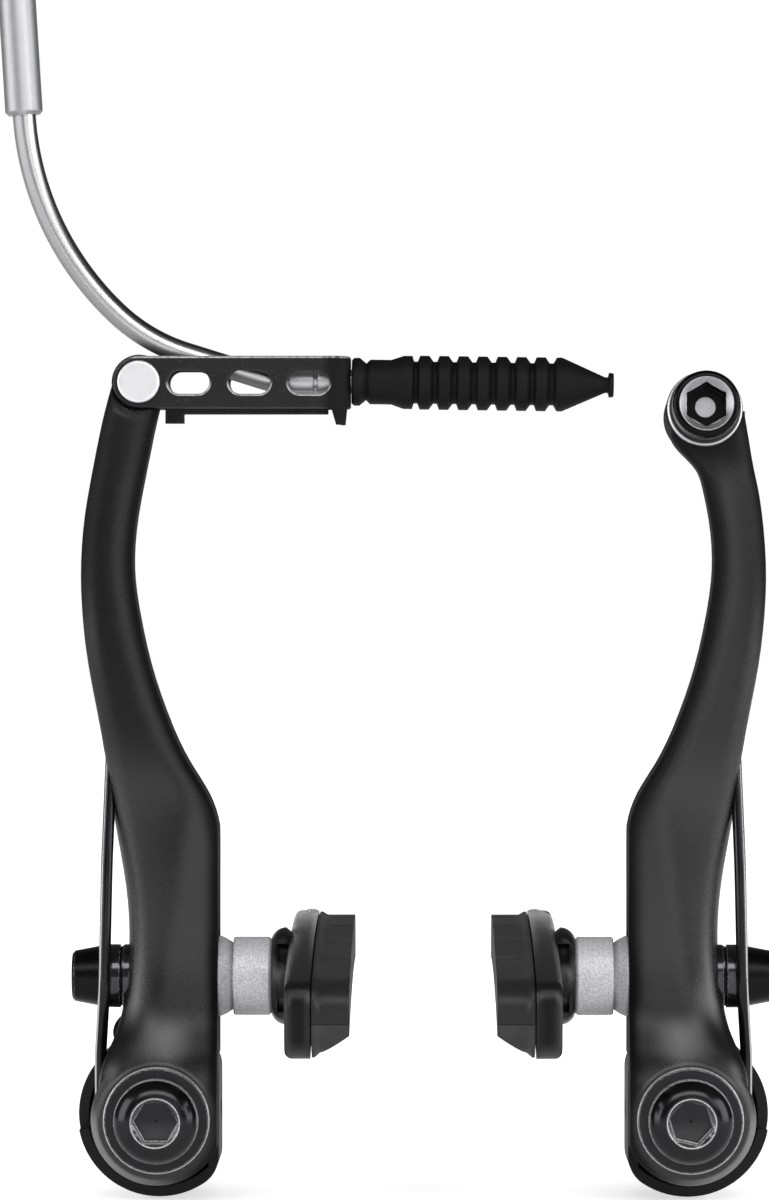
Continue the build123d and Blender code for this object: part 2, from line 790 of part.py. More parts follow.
with BuildPart() as link_pin:
    with BuildSketch(front_at(link_half_gap + sheet)):
        with Locations((pin_u, pin_height)):
            Circle(pin_radius)
    extrude(amount=2 * (link_half_gap + sheet))
    for face, way in ((link_half_gap + sheet, -1), (-link_half_gap - sheet, 1)):
        with BuildSketch(front_at(face)):
            with Locations((pin_u, pin_height)):
                Circle(pin_head_radius)
        extrude(amount=0.9 * way)
    fillet(link_pin.faces().sort_by(Axis.Y)[0].edges(), 0.3)
    fillet(link_pin.faces().sort_by(Axis.Y)[-1].edges(), 0.3)
save(link_pin, "link_pin")

# Lead pipe: tangent lines and arcs from its nose in the link up to the housing ferrule
with BuildLine(front) as lead_line:
    nose = Line((nose_start, lead_height), (nose_end, lead_height))
    low = JernArc(nose @ 1, nose % 1, low_bend, -17.4)
    rise = Line(low @ 1, low @ 1 + (low % 1) * rise_length)
    middle = JernArc(rise @ 1, rise % 1, middle_bend, -26.0)
    high = JernArc(middle @ 1, middle % 1, high_bend, -43.0)
    grip = Line(high @ 1, high @ 1 + (high % 1) * ferrule_grip)

with BuildPart() as lead_pipe:
    with BuildSketch(Plane(origin=nose @ 0, z_dir=nose % 0)):
        Circle(pipe_radius)
        Circle(pipe_bore, mode=Mode.SUBTRACT)
    sweep(path=lead_line.wires()[0])
save(lead_pipe, "lead_pipe")

with BuildPart() as lead_liner:
    with BuildSketch(Plane(origin=nose @ 0, z_dir=nose % 0)):
        Circle(pipe_bore - 0.05)
        Circle(0.85, mode=Mode.SUBTRACT)
    sweep(path=lead_line.wires()[0])
save(lead_liner, "lead_liner")

ferrule_plane = Plane(origin=high @ 1, z_dir=high % 1)
with BuildPart() as lead_ferrule:
    with BuildSketch(ferrule_plane):
        Circle(ferrule_radius)
    extrude(amount=ferrule_length)
    chamfer(lead_ferrule.edges().sort_by(Axis.Z)[0], 0.5)
    with BuildSketch(ferrule_plane):
        Circle(pipe_radius + 0.02)
    extrude(amount=ferrule_grip, mode=Mode.SUBTRACT)
    with BuildSketch(ferrule_plane):
        Circle(pipe_bore)
    extrude(amount=ferrule_length, mode=Mode.SUBTRACT)
    with BuildSketch(ferrule_plane.offset(ferrule_grip + 1.0)):
        Circle(ferrule_bore)
    extrude(amount=ferrule_length, mode=Mode.SUBTRACT)
save(lead_ferrule, "lead_ferrule")

tip_axis = Axis((pivot_x, 0, lead_height), (1, 0, 0))
with BuildPart() as lead_tip:
    with BuildSketch(front):
        with BuildLine():
            Polyline(
                (nose_end + 0.4, lead_height + pipe_radius + 0.02),
                (nose_end + 0.4, lead_height + 2.5),
                (nose_start + 2.7, lead_height + 2.5),
                (nose_start + 2.7, lead_height + 1.9),
                (nose_start + 3.4, lead_height + 1.9),
                (nose_start + 3.4, lead_height + 2.6),
                (link_end - 2.4, lead_height + 2.6),
                (link_end - sheet - 0.1, lead_height + 1.9),
                (link_end + 1.6, lead_height + 1.7),
                (link_end + 1.6, lead_height + pipe_bore),
                (nose_start + 0.02, lead_height + pipe_bore),
                (nose_start + 0.02, lead_height + pipe_radius + 0.02),
                close=True,
            )
        make_face()
    revolve(axis=tip_axis)
save(lead_tip, "lead_pipe_tip")

# Boot: a bellows with a collar over the pipe's nose and a pointed end, hanging a little
boot_direction = Vector(cos(radians(boot_droop)), 0, -sin(radians(boot_droop)))
boot_plane = Plane(
    origin=(pivot_x + link_end + 0.02, 0, lead_height), x_dir=boot_direction, z_dir=(0, -1, 0)
)
boot_axis = Axis(boot_plane.origin, boot_direction)
rib_start = 10.1
cone_start = rib_start + rib_count * rib_pitch
with BuildPart() as rubber_boot:
    with BuildSketch(boot_plane):
        with BuildLine():
            body = [(0.1, 1.85), (0.1, 3.3), (0.5, 3.65), (1.3, 3.65), (2.3, 2.8), (2.9, 3.4)]
            body += [(6.1, 3.4), (8.0, 4.05), (9.3, 4.05)]
            for rib in range(rib_count):
                base = rib_start + rib * rib_pitch
                body += [(base - 0.55, valley_radius), (base, valley_radius)]
                body += [(base + 0.35, rib_radius), (base + 1.75, rib_radius)]
            body += [(cone_start - 0.6, valley_radius), (cone_start, valley_radius)]
            body += [(cone_start + 0.5, rib_radius), (cone_start + 1.3, rib_radius)]
            body += [(boot_length - 1.3, 1.2), (boot_length - 0.9, 1.2), (boot_length - 0.7, 1.9)]
            body += [(boot_length, 1.8), (boot_length, 0.8), (cone_start, 2.2), (2.2, 2.2), (2.2, 1.85)]
            Polyline(*body, close=True)
        make_face()
    revolve(axis=boot_axis)
save(rubber_boot, "rubber_boot")

# Cable clamp on the right arm
with BuildPart() as clamp_washer:
    with BuildSketch(anchor_plane.offset(0.02)):
        Circle(anchor_washer_radius)
        Circle(post_radius + 0.1, mode=Mode.SUBTRACT)
    extrude(amount=anchor_washer_thickness)
    chamfer(clamp_washer.faces().sort_by(Axis.Y)[0].outer_wire().edges(), 0.25)
with BuildPart() as anchor_washer:
    mirror(clamp_washer.part, about=Plane.YZ)
save(anchor_washer, "anchor_washer")

anchor_seat = anchor_washer_thickness + 0.02
anchor_top = anchor_seat + anchor_head_height
with BuildPart() as clamp_bolt:
    with BuildSketch(anchor_plane.offset(-9.0)):
        Circle(post_radius)
    extrude(amount=9.0 + anchor_seat)
    with BuildSketch(anchor_plane.offset(anchor_seat)):
        Circle(anchor_head_radius)
    extrude(amount=anchor_head_height)
    fillet(clamp_bolt.edges().sort_by(Axis.Y)[0], 0.8)
    with BuildSketch(anchor_plane.offset(anchor_top)):
        RegularPolygon(anchor_key / 2, 6, major_radius=False, rotation=30)
    extrude(amount=-4.0, mode=Mode.SUBTRACT)
    with BuildSketch(anchor_plane.offset(anchor_top - 0.9)):
        Circle(3.1)
    with BuildSketch(anchor_plane.offset(anchor_top)):
        Circle(4.0)
    loft(mode=Mode.SUBTRACT)
with BuildPart() as anchor_bolt:
    mirror(clamp_bolt.part, about=Plane.YZ)
save(anchor_bolt, "anchor_bolt")
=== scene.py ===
import math

import bpy
from bpy.props import FloatProperty, FloatVectorProperty, IntProperty, PointerProperty
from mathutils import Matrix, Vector


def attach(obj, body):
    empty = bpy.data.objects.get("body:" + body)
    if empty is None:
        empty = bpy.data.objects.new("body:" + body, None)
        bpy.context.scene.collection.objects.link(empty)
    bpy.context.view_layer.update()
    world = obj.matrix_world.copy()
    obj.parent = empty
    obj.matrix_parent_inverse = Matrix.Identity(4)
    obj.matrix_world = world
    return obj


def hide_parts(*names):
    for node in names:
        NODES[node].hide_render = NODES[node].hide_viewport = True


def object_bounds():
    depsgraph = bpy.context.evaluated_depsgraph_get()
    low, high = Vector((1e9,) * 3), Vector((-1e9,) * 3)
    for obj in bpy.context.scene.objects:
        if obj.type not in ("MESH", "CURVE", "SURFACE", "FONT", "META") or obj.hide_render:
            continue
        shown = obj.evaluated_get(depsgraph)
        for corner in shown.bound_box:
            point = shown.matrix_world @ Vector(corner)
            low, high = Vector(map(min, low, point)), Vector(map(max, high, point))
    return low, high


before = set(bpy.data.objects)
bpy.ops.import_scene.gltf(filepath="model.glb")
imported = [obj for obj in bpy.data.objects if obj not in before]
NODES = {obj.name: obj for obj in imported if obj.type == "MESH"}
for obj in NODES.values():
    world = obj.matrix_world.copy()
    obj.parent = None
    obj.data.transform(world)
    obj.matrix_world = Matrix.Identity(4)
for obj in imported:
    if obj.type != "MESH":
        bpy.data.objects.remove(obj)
CAD_BOX = [[float(v) for v in corner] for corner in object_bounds()]

bl_info = {
    "name": "Linear-pull brake",
    "version": (1, 0, 0),
    "blender": (4, 5, 0),
    "location": "View3D > Sidebar > Brake",
    "description": "Finishes the solids of a linear-pull rim brake and stands it in a white studio",
    "category": "Object",
}

# Places on the brake are in millimetres, and a pair says where a blend starts and ends

MM = 0.001
SIDES = ("left", "right")
STUD_HALF = 40.0
MIDDLE_LINE = (-1.0, 1.0)

# Arms: heights, radii about the stud, reach outward from it and shares of the surface's direction, which
# place the painted shade on the arms and the painted highlights round each pivot
ARM_MIDDLE = (46.0, 60.0)
ARM_UPPER = (52.0, 86.0)
ARM_COLLAR = (94.0, 101.0)
INNER_SIDE = (0.06, 0.55)
OUTER_SIDE = (0.16, 0.45)
OUTER_FACET = (0.04, 0.12)
BOSS_RIM = (8.7, 9.3)
BOSS_LOWER_HALF = (-1.0, 3.0)
BOSS_LOWER_SIDE = (0.3, 0.95)
DOWN_AND_OUT = (0.78, -0.62)
FLANK_OUTER = (-1.8, 4.4)
FLANK_INNER = (1.2, 6.6)
FLANK_FOOT = (6.0, 9.5)
FLANK_HEAD = (12.0, 18.0)
ARC_RADIUS = 8.5
ARC_LINE = (0.1, 0.34)
ARC_FOOT = (3.0, 6.5)

# Pivot bolts and washers: radius and width of each painted highlight ring, and the hexagon socket with its
# painted highlights
BOLT_HIGHLIGHT_RINGS = ((6.33, 0.17), (3.66, 0.14))
WASHER_HIGHLIGHT_RINGS = ((7.93, 0.15),)
KEY_HALF = 3.0
KEY_WALL = 0.1
KEY_LINE = (0.07, 0.17)
KEY_AXIS = (0.6, 0.9)
KEY_FLOOR_LOW = (-2.4, 0.6)
KEY_LINE_LOW = (-1.5, 2.6)
COUNTERSINK = (3.5, 3.7)
HEXAGON_ANGLES = (30.0, 90.0, 150.0)
LEFT_BOLT_TURN = 0.0
RIGHT_BOLT_TURN = -13.0

# Cable clamp: its centre in metres, its lean in degrees, and radii and depths about its axis
CLAMP_CENTRE = (0.0425, -0.0046, 0.1068)
CLAMP_TILT = (6.5, 0, 0)
CLAMP_TOP = 6.12
CLAMP_MOUTH = 4.0
CLAMP_CONE_LINE = (0.05, 0.15)
CLAMP_FLOOR = (1.45, 1.6)
CLAMP_FLOOR_DEPTH = (3.7, 3.9)
CLAMP_WASHER_RIM = (5.35, 5.53)

# Shoes: the pads' front ends, with painted shade at their step and above it, and the flat ends of the
# holders, with painted shade
PAD_END = (-34.0, -31.0)
PAD_STEP = 16.6
PAD_STEP_SHADE_LINE = (0.08, 0.2)
PAD_SHADE_ABOVE_STEP = (0.0, 0.3)
HOLDER_SHADED_END = (0.86, 0.98)

# Link: its top edge with a painted highlight, the bend at its end with painted shade past it, and the rims
# of its slots with painted highlights
LINK_TOP_HIGHLIGHT = (114.53, 114.7)
LINK_UPPER_SIDE = (0.1, 0.45)
LINK_EDGE_REACH = 2.4
LINK_BEND = (-15.6, -14.0)
LINK_SLOTS = (-35.5, -26.3, -17.3)
PIN_HEIGHT = 111.0
SLOT_HALF = 3.27
SLOT_ROUND = 1.92
SLOT_LINE = (0.12, 0.24)
SLOT_LOWER_HALF = (-1.0, 0.4)

# Pipe, ferrule and springs: shares of the surface's direction, which place the painted shade on the pipe and
# the painted highlights on the ferrule and springs
PIPE_SIDEWAYS, PIPE_UPWARD = 0.75, 0.66
PIPE_SHADED_UNDER = (-0.42, 0.0)
PIPE_SHADED_BEYOND = (0.34, 0.72)
FERRULE_TURN = (0, 3.4, 0)
FERRULE_HIGHLIGHT_LEFT = (-0.25, 0.1)
FERRULE_HIGHLIGHT_RIGHT = (0.32, 0.6)
SPRING_HIGHLIGHT_START = (0.6, 0.72)
SPRING_HIGHLIGHT_END = (0.9, 0.97)

# Boot: lengths along it and radii, its droop in degrees and the place of its mouth in metres
BOOT_LENGTH = 39.9
BOOT_BORE = 2.2
BOOT_LIP_BORE = 1.85
RIB_START = 10.1
RIB_COUNT = 7
RIB_PITCH = 2.95
RIB_RADIUS = 4.1
VALLEY_RADIUS = 3.2
CONE_START = RIB_START + RIB_COUNT * RIB_PITCH
BOOT_DROOP = 0.8
BOOT_MOUTH = (-0.01098, 0, 0.1112)
BOOT_SHARP = 24

# Depth of each kind of grain and width of the softened edges, in metres
FINE_GRAIN = 0.00003
MOULD_GRAIN = 0.00004
RUBBER_GRAIN = 0.00006
SAND_GRAIN = 0.00008
SOFT_EDGE = 0.0003
SAND_EDGE = 0.0002
PAD_EDGE = 0.0006
HOLDER_EDGE = 0.0022

# Colours of bare metal and of painted highlights, of the bushes and of the liner
WORN_EDGE_AND_HIGHLIGHT = (0.5, 0.5, 0.51)
WORN_CLAMP_EDGE = (0.1, 0.1, 0.105)
SPRING_HIGHLIGHT = (0.55, 0.55, 0.56)
BRONZE_DARK, BRONZE_PALE = (0.30, 0.21, 0.12), (0.42, 0.31, 0.19)
LINER_DARK, LINER_PALE = (0.62, 0.62, 0.60), (0.72, 0.72, 0.70)

# Stage: sizes in metres, fades of the white surroundings, and name, place, size and power of each lamp
FLOOR_SIZE = 6.0
FLOOR_GAP = 0.0005
FLOOR_FADE = (60.0, 420.0)
FLOOR_NEAR = 0.62
BACKDROP_WIDE = (0.90, 0.97)
BACKDROP_STEEP = (0.10, 0.22)
FRONT_WALL = (0.86, 0.97)
LAMP_TARGET = (0, 0, 0.07)
LAMPS = (
    ("top soft box", (0.0, -0.62, 0.56), (0.9, 0.26), 3.4),
    ("left soft box", (-0.80, -0.27, 0.14), (0.60, 0.8), 6.0),
    ("right soft box", (0.80, -0.27, 0.14), (0.60, 0.8), 6.0),
    ("streak soft box", (0.62, -0.69, 0.37), (0.32, 0.28), 0.65),
    ("front soft box", (0.21, -1.09, 0.14), (0.50, 0.6), 0.95),
)
SENSOR = 36.0


def colour_of(name, text, default):
    return FloatVectorProperty(
        name=name, description=text, subtype="COLOR", size=3, min=0.0, max=1.0, default=default
    )


def share_of(name, text, default):
    return FloatProperty(name=name, description=text, subtype="FACTOR", min=0.0, max=1.0, default=default)


def length_of(name, text, default):
    return FloatProperty(name=name, description=text, unit="LENGTH", min=0.0, precision=5, default=default)


# Settings that a user would change


class ArmSettings(bpy.types.PropertyGroup):
    """Finish of the two arms"""

    paint: colour_of("Paint", "Satin black of both arms", (0.0055, 0.0055, 0.0061))
    # This grey is painted as highlights: a crescent on the lower outer side of each pivot rim and an arc
    # above each pivot.
    boss: colour_of("Boss rim", "Sandy grey of the rim round each pivot", (0.20, 0.20, 0.205))
    gloss: share_of("Roughness", "Roughness of the satin paint", 0.26)
    grain: length_of("Grain", "Size of the fine grain under the paint", 0.00022)
    rounding: length_of("Rounding", "How far the paint softens the arms' edges", 0.0026)


class HardwareSettings(bpy.types.PropertyGroup):
    """Finish of the bolts, washers, springs and spring holders"""

    bolt: colour_of("Bolt black", "Dark plating of bolts, nuts and washers", (0.027, 0.027, 0.029))
    spring: colour_of("Spring black", "Lacquer of the return springs", (0.03, 0.03, 0.032))
    holder: colour_of("Holder", "Plastic of the spring holders", (0.004, 0.004, 0.0043))
    bright: colour_of("Bright steel", "Zinc-plated and bare steel", (0.72, 0.72, 0.74))
    edge: length_of("Edge", "Width of the worn edge that catches light", 0.00022)


class ShoeSettings(bpy.types.PropertyGroup):
    """Finish of the shoes"""

    holder: colour_of("Shoe holder", "Satin black of the shoe holders", (0.004, 0.004, 0.0044))
    pad: colour_of("Pad", "Rubber of the brake pads", (0.032, 0.032, 0.0334))
    spacer: colour_of("Spacer", "Sintered steel of the spacers", (0.58, 0.58, 0.60))


class LeadSettings(bpy.types.PropertyGroup):
    """Finish and size of the lead pipe, its link and its boot"""

    link: colour_of("Link", "Black of the bent link", (0.0085, 0.0087, 0.0092))
    pipe: colour_of("Pipe", "Polished steel of the pipe", (0.60, 0.60, 0.61))
    ferrule: colour_of("Ferrule", "Alloy of the housing ferrule", (0.38, 0.38, 0.396))
    boot: colour_of("Boot", "Rubber of the boot", (0.003, 0.003, 0.0032))
    rib_round: length_of("Rib rounding", "Rounding of the boot's ribs", 0.00028)
    boot_steps: IntProperty(
        name="Boot steps", description="Faces round the boot", min=12, max=128, default=56
    )


class StageSettings(bpy.types.PropertyGroup):
    """Camera, lamps and surroundings"""

    camera_place: FloatVectorProperty(
        name="Camera", description="Place of the camera", subtype="TRANSLATION", unit="LENGTH",
        size=3, default=(0.0, -0.772, 0.0780),
    )
    camera_turn: FloatProperty(
        name="Turn", description="Turn of the camera about the vertical", subtype="ANGLE",
        default=math.radians(0.438),
    )
    lens: FloatProperty(name="Lens", description="Focal length in millimetres", min=10.0, default=152.3)
    floor: colour_of("Floor", "Pale floor", (0.86, 0.86, 0.86))
    soft_light: share_of("Soft light", "Level of the even light all round", 0.3)
    floor_shine: share_of("Floor in metal", "Level of the floor's white as metal shows it", 0.35)
    front_light: share_of("Front light", "Level of the pale wall behind the camera, as metal shows it", 0.06)
    side_dark: share_of("Side level", "Level of the dim sides of the studio, as metal shows them", 0.09)
    lamp: FloatProperty(name="Lamps", description="Strength of the soft boxes", min=0.0, default=1.0)


class BrakeSettings(bpy.types.PropertyGroup):
    """All settings of the brake"""

    arms: PointerProperty(type=ArmSettings)
    hardware: PointerProperty(type=HardwareSettings)
    shoes: PointerProperty(type=ShoeSettings)
    lead: PointerProperty(type=LeadSettings)
    stage: PointerProperty(type=StageSettings)


# Shader maths


class Value:
    """A socket of a finish, so that shader maths is written as a plain expression."""

    def __init__(self, finish, socket):
        self.finish = finish
        self.socket = socket

    def maths(self, operation, *terms):
        return self.finish.node("ShaderNodeMath", {"operation": operation}, dict(enumerate(terms)))

    def __add__(self, other):
        return self.maths("ADD", self, other)

    def __radd__(self, other):
        return self.maths("ADD", other, self)

    def __sub__(self, other):
        return self.maths("SUBTRACT", self, other)

    def __rsub__(self, other):
        return self.maths("SUBTRACT", other, self)

    def __mul__(self, other):
        return self.maths("MULTIPLY", self, other)

    def __rmul__(self, other):
        return self.maths("MULTIPLY", other, self)

    def __truediv__(self, other):
        return self.maths("DIVIDE", self, other)

    def __rtruediv__(self, other):
        return self.maths("DIVIDE", other, self)

    def __pow__(self, other):
        return self.maths("POWER", self, other)

    def __neg__(self):
        return self.maths("SUBTRACT", 0.0, self)

    def __abs__(self):
        return self.maths("ABSOLUTE", self)

    def most(self, other):
        return self.maths("MAXIMUM", self, other)

    def rise(self, start, end):
        """0 below start and 1 above end, smooth between them."""
        return self.finish.node(
            "ShaderNodeMapRange", {"interpolation_type": "SMOOTHSTEP"}, {"Value": self, 1: start, 2: end}
        )

    def fall(self, start, end):
        """1 below start and 0 above end."""
        return 1.0 - self.rise(start, end)

    def line(self, full, gone):
        """1 where the value is nearly zero and 0 further from zero, on both sides."""
        return abs(self).fall(full, gone)


class Finish:
    """The nodes of one material, or of the world."""

    def __init__(self, owner):
        owner.use_nodes = True
        self.owner = owner
        self.tree = owner.node_tree
        self.tree.nodes.clear()

    def node(self, kind, settings, sockets, output=0):
        """Adds a node: its settings first, then the values or links of its sockets."""
        node = self.tree.nodes.new(kind)
        for key, value in settings.items():
            setattr(node, key, value)
        for key, value in sockets.items():
            socket = node.inputs[key]
            if isinstance(value, Value):
                self.tree.links.new(value.socket, socket)
            elif socket.type == "RGBA" and len(value) == 3:
                socket.default_value = (*value, 1.0)
            else:
                socket.default_value = value
        return Value(self, node.outputs[output]) if node.outputs else None

    def place(self, centre=(0, 0, 0), turn=(0, 0, 0)):
        """Object coordinates in millimetres from a centre given in metres, turned by degrees."""
        spot = self.node("ShaderNodeTexCoord", {}, {}, "Object")
        moved = self.node("ShaderNodeVectorMath", {"operation": "SUBTRACT"}, {0: spot, 1: centre})
        return self.node(
            "ShaderNodeMapping",
            {"vector_type": "POINT"},
            {"Vector": moved, "Rotation": [math.radians(a) for a in turn], "Scale": (1000, 1000, 1000)},
        )

    def parts_of(self, vector):
        split = self.node("ShaderNodeSeparateXYZ", {}, {0: vector})
        return [Value(self, split.socket.node.outputs[i]) for i in range(3)]

    def facing(self):
        """The direction that the surface faces."""
        return self.node("ShaderNodeNewGeometry", {}, {}, "Normal")

    def rays(self):
        """Whether a ray comes from the camera, from gloss or through glass."""
        kinds = self.node("ShaderNodeLightPath", {}, {}).socket.node.outputs
        names = ("Is Camera Ray", "Is Glossy Ray", "Is Transmission Ray")
        return [Value(self, kinds[name]) for name in names]

    def noise(self, vector, scale, detail=2.0, stretch=None):
        if stretch:
            vector = self.node("ShaderNodeVectorMath", {"operation": "MULTIPLY"}, {0: vector, 1: stretch})
        return self.node("ShaderNodeTexNoise", {}, {"Vector": vector, "Scale": scale, "Detail": detail})

    def mix(self, share, first, second):
        """A colour between two colours."""
        return self.node("ShaderNodeMix", {"data_type": "RGBA"}, {0: share, 6: first, 7: second}, 2)

    def tones(self, share, colour, low, high):
        """A colour between two tones of one colour."""
        return self.mix(share, tone(colour, low), tone(colour, high))

    def bump(self, height, strength, distance, normal=None):
        sockets = {"Height": height, "Strength": strength, "Distance": distance}
        if normal:
            sockets["Normal"] = normal
        return self.node("ShaderNodeBump", {}, sockets)

    def soft_edge(self, radius):
        return self.node("ShaderNodeBevel", {"samples": 4}, {"Radius": radius})

    def edge_mask(self, radius):
        """1 near sharp edges and 0 on flat faces."""
        sockets = {0: self.soft_edge(radius), 1: self.facing()}
        dot = self.node("ShaderNodeVectorMath", {"operation": "DOT_PRODUCT"}, sockets, 1)
        return (1.0 - dot).rise(0.02, 0.16)

    def worn_edges(self, spot, radius):
        """Edges whose plating is worn here and there."""
        return self.edge_mask(radius) * self.noise(spot, scale=1.7).rise(0.3, 0.6)

    def shader(self, **sockets):
        """A Principled shader; names use _ for a space."""
        return self.node(
            "ShaderNodeBsdfPrincipled", {}, {k.replace("_", " "): v for k, v in sockets.items()}
        )

    def principled(self, **sockets):
        """Ends the nodes in one Principled shader."""
        self.node("ShaderNodeOutputMaterial", {}, {"Surface": self.shader(**sockets)})
        return self.owner

    def blend(self, share, first, second):
        """Ends the nodes in a mix of two shaders."""
        made = self.node("ShaderNodeMixShader", {}, {0: share, 1: first, 2: second})
        self.node("ShaderNodeOutputMaterial", {}, {"Surface": made})
        return self.owner


def new_finish(name):
    return Finish(bpy.data.materials.new(name))


def dress(material, *names):
    """Gives CAD nodes or new pieces a finish."""
    for name in names:
        piece = NODES.get(name) or bpy.data.objects[name]
        piece.data.materials.clear()
        piece.data.materials.append(material)


def both(*names):
    return [f"{side}_{name}" for side in SIDES for name in names]


def tone(colour, factor):
    return tuple(min(1.0, c * factor) for c in colour)


def far(across, up):
    """Distance from an axis."""
    return (across * across + up * up) ** 0.5


# Finishes


def satin_arm_paint(look):
    """Satin black with fine grain, with painted shade on the inner and outer sides, the collars and beside
    the band above each pivot, and painted highlights round each pivot.
    """
    f = new_finish("satin arm paint")
    spot = f.place()
    grain = f.noise(spot, scale=MM / look.grain)
    cloud = f.noise(spot, scale=0.09, detail=3.0)
    rounded = f.soft_edge(look.rounding)
    normal = f.bump(grain, 0.10, FINE_GRAIN, rounded)
    side, _, up = f.parts_of(spot)
    right = side.rise(*MIDDLE_LINE)
    reach = abs(side) - STUD_HALF
    radius = far(reach, up)

    # Painted highlights: a speckled grey crescent on the lower outer side of each pivot rim, and a pale arc
    # above each pivot.
    lower = (reach * DOWN_AND_OUT[0] + up * DOWN_AND_OUT[1]) / (radius + 0.1)
    highlight_crescent = radius.rise(*BOSS_RIM) * up.fall(*BOSS_LOWER_HALF) * lower.rise(*BOSS_LOWER_SIDE)
    highlight_crescent = highlight_crescent * (0.45 + grain * 0.9)
    highlight_arc = (radius - ARC_RADIUS).line(*ARC_LINE) * up.rise(*ARC_FOOT)
    base = f.tones(cloud, look.paint, 0.86, 1.14)
    paint = f.mix(grain.rise(0.45, 0.8), base, tone(look.paint, 1.35))
    painted = f.shader(
        Base_Color=f.mix(highlight_crescent.most(highlight_arc * 0.3), paint, look.boss),
        Roughness=look.gloss - 0.05 + cloud * 0.06 + grain * 0.06 + highlight_crescent * 0.3,
        Normal=normal,
        Specular_IOR_Level=0.6,
    )
    # A darker, duller copy of the paint, blended in as painted shade.
    shaded_copy = f.shader(
        Base_Color=f.tones(grain, look.paint, 0.3, 0.5),
        Roughness=0.6 + cloud * 0.1,
        Normal=normal,
        Specular_IOR_Level=0.1,
    )

    # Painted shade on the inner sides, the upper outer sides, the outer facets of the upper arms, the
    # collars and the sides of the band above each pivot.
    inward = f.parts_of(rounded)[0] * (1.0 - right * 2.0)
    outward = -inward
    outer = outward.rise(*OUTER_SIDE) * up.rise(*ARM_UPPER) * 0.9
    facet = outward.rise(*OUTER_FACET) * up.rise(*ARM_MIDDLE) * (0.62 - right * 0.3)
    collar = up.rise(*ARM_COLLAR) * (0.35 + right * 0.5)
    flank = reach.rise(*FLANK_OUTER).most((-reach).rise(*FLANK_INNER))
    flank = flank * up.rise(*FLANK_FOOT) * up.fall(*FLANK_HEAD) * 0.8
    painted_shade = inward.rise(*INNER_SIDE).most(outer).most(facet).most(collar).most(flank)
    return f.blend(painted_shade, painted, shaded_copy)


def hexagon(across, up, turn):
    """Distance from the middle of a hexagon socket, in steps that follow its flats."""
    angles = [math.radians(angle + turn) for angle in HEXAGON_ANGLES]
    first, second, third = [abs(across * math.cos(a) + up * math.sin(a)) for a in angles]
    return first.most(second).most(third)


def dark_plating(name, colour, roughness, edge, highlight_rings=(), key=0.0):
    """Glossy black plating with worn, paler edges, painted highlight rings round the pivots and painted
    highlights in the hexagon socket.
    """
    f = new_finish(name)
    spot = f.place()
    cloud = f.noise(spot, scale=0.6, detail=3.0)
    wear_and_highlight = f.worn_edges(spot, edge)
    if highlight_rings:
        side, _, up = f.parts_of(spot)
        across = abs(side) - STUD_HALF
        radius = far(across, up)
        speckle = f.noise(spot, scale=2.4).rise(0.25, 0.6) * 0.5 + 0.5
        # Painted highlight rings round the pivot.
        for rim, wide in highlight_rings:
            wear_and_highlight = wear_and_highlight.most((radius - rim).line(wide * 0.5, wide) * speckle)
        if key:
            # Painted highlights in the socket: a line along its flats, fainter at the top, a paler
            # countersink and a faint glow on the lower part of its floor.
            left = hexagon(across, up, LEFT_BOLT_TURN) - key
            right = hexagon(across, up, RIGHT_BOLT_TURN) - key
            off = left + side.rise(-0.5, 0.5) * (right - left)
            line = off.line(*KEY_LINE) * speckle * (1.0 - up.rise(*KEY_LINE_LOW) * 0.6)
            countersink = off.rise(0.0, KEY_WALL) * radius.fall(*COUNTERSINK) * 0.22
            floor = off.fall(-KEY_WALL, 0.0) * up.fall(*KEY_FLOOR_LOW)
            floor = floor * (0.01 + f.noise(spot, scale=2.0, detail=3.0) * 0.1)
            wear_and_highlight = (wear_and_highlight * radius.rise(*KEY_AXIS)).most(line).most(floor).most(countersink)
    return f.principled(
        Base_Color=f.mix(wear_and_highlight, f.tones(cloud, colour, 0.8, 1.2), WORN_EDGE_AND_HIGHLIGHT),
        Roughness=roughness - 0.04 + cloud * 0.08,
        Metallic=0.9 - wear_and_highlight * 0.6,
        Normal=f.bump(f.noise(spot, scale=5.0), 0.05, FINE_GRAIN, f.soft_edge(edge)),
    )


def clamp_bolt_black(colour, silver, edge):
    """Glossy black like the other bolts, with the countersink and the floor of the socket left bare."""
    f = new_finish("clamp bolt black")
    spot = f.place()
    across, along, up = f.parts_of(f.place(CLAMP_CENTRE, CLAMP_TILT))
    radius = far(across, up)
    depth = along + CLAMP_TOP
    rough = f.noise(spot, scale=3.2, detail=3.0)
    cone = (radius + depth - CLAMP_MOUTH).line(*CLAMP_CONE_LINE)
    floor = radius.fall(*CLAMP_FLOOR) * depth.rise(*CLAMP_FLOOR_DEPTH)
    bare = cone.most(floor) * (0.55 + rough * 0.45)
    dark = f.mix(f.worn_edges(spot, edge), f.tones(rough, colour, 0.8, 1.2), WORN_CLAMP_EDGE)
    return f.principled(
        Base_Color=f.mix(bare, dark, tone(silver, 0.72)),
        Roughness=0.2 + rough * 0.08 + bare * 0.22,
        Metallic=0.9,
        Normal=f.bump(rough, 0.04 + bare * 0.3, MOULD_GRAIN, f.soft_edge(edge)),
    )


